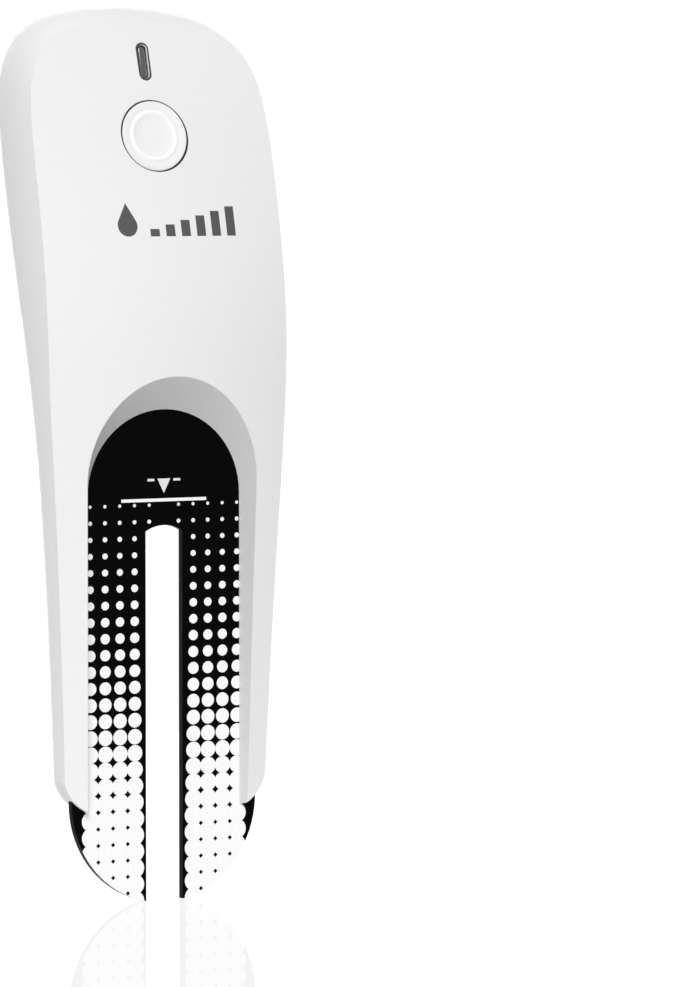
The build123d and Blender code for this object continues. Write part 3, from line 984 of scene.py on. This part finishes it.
def makeFloor():
    sizes = floorSizes
    bm = bmesh.new()
    bmesh.ops.create_grid(bm, x_segments=2, y_segments=2, size=sizes["half"])
    bmesh.ops.translate(bm, verts=bm.verts, vec=(0, 0, cadBounds[0].z))
    mesh = bpy.data.meshes.new("floor")
    bm.to_mesh(mesh)
    bm.free()
    floor = bpy.data.objects.new("floor", mesh)
    bpy.context.scene.collection.objects.link(floor)
    material = startMaterial("paleFloor")[0]
    dress(material, {"Base Color": grey(sizes["tone"]), "Roughness": sizes["roughness"], "IOR": sizes["ior"],
                     "Emission Color": grey(1.0), "Emission Strength": sizes["glow"]}, {})
    mesh.materials.append(material)
    floor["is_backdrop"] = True


viewSizes = {
    "height": 0.2030,           # height of the field at the object
    "distance": 1.2,
    "yaw": -29.3,
    "rise": 3.5,
    "aimRight": 0.03613,
    "aimUp": 0.0013,
    "sensor": 36.0,
    "clipEnd": 50,
}


def makeCamera():
    sizes = viewSizes
    yaw, rise = math.radians(sizes["yaw"]), math.radians(sizes["rise"])
    towards = Vector((math.sin(yaw) * math.cos(rise), -math.cos(yaw) * math.cos(rise), math.sin(rise)))
    right = Vector((math.cos(yaw), math.sin(yaw), 0))
    aim = right * sizes["aimRight"] + Vector((0, 0, sizes["aimUp"]))
    data = bpy.data.cameras.new("camera")
    data.sensor_width = sizes["sensor"]
    data.lens = sizes["sensor"] * sizes["distance"] / sizes["height"]
    data.clip_end = sizes["clipEnd"]
    camera = bpy.data.objects.new("camera", data)
    bpy.context.scene.collection.objects.link(camera)
    camera.location = aim + towards * sizes["distance"]
    camera.rotation_mode = "QUATERNION"
    camera.rotation_quaternion = (-towards).to_track_quat("-Z", "Y")
    bpy.context.scene.camera = camera


lightSettings = {
    "surround": 1.02,           # the white that is seen
    "fill": 0.30,               # how much of it lights the object
    "lamps": {                  # place, side length, watts
        "key": ((-0.58, -0.95, 0.98), 0.6, 16.4),
        "back": ((0.5, 1.5, 0.1), 1.2, 9),
        "overhead": ((0, 0.1, 1.6), 2.4, 1),
    },
}


def makeLamp(name, place, side, power):
    # a square lamp that looks at the part's origin
    data = bpy.data.lights.new(name, "AREA")
    data.shape = "RECTANGLE"
    data.size = side
    data.size_y = side
    data.energy = power
    lamp = bpy.data.objects.new(name, data)
    bpy.context.scene.collection.objects.link(lamp)
    lamp.location = place
    lamp.rotation_mode = "QUATERNION"
    lamp.rotation_quaternion = (-Vector(place)).to_track_quat("-Z", "Y")


def lightScene():
    # a plain white surround, one soft lamp at the front left, one behind and a weak one overhead
    settings = lightSettings
    world = bpy.data.worlds.new("studio")
    world.use_nodes = True
    background = world.node_tree.nodes["Background"]
    background.inputs["Color"].default_value = grey(1.0)
    scattered = Wire(world.node_tree).make("ShaderNodeLightPath", {}, {}, "Is Diffuse Ray")
    strength = settings["surround"] - scattered * (settings["surround"] - settings["fill"])
    world.node_tree.links.new(strength.socket, background.inputs["Strength"])
    bpy.context.scene.world = world
    for name, lamp in settings["lamps"].items():
        makeLamp(name, *lamp)
    bpy.context.scene.view_settings.view_transform = "Standard"


makeFloor()
makeCamera()
lightScene()
print("stage made")

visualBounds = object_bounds()
{"cad": [list(point) for point in cadBounds], "visual": [list(point) for point in visualBounds]}
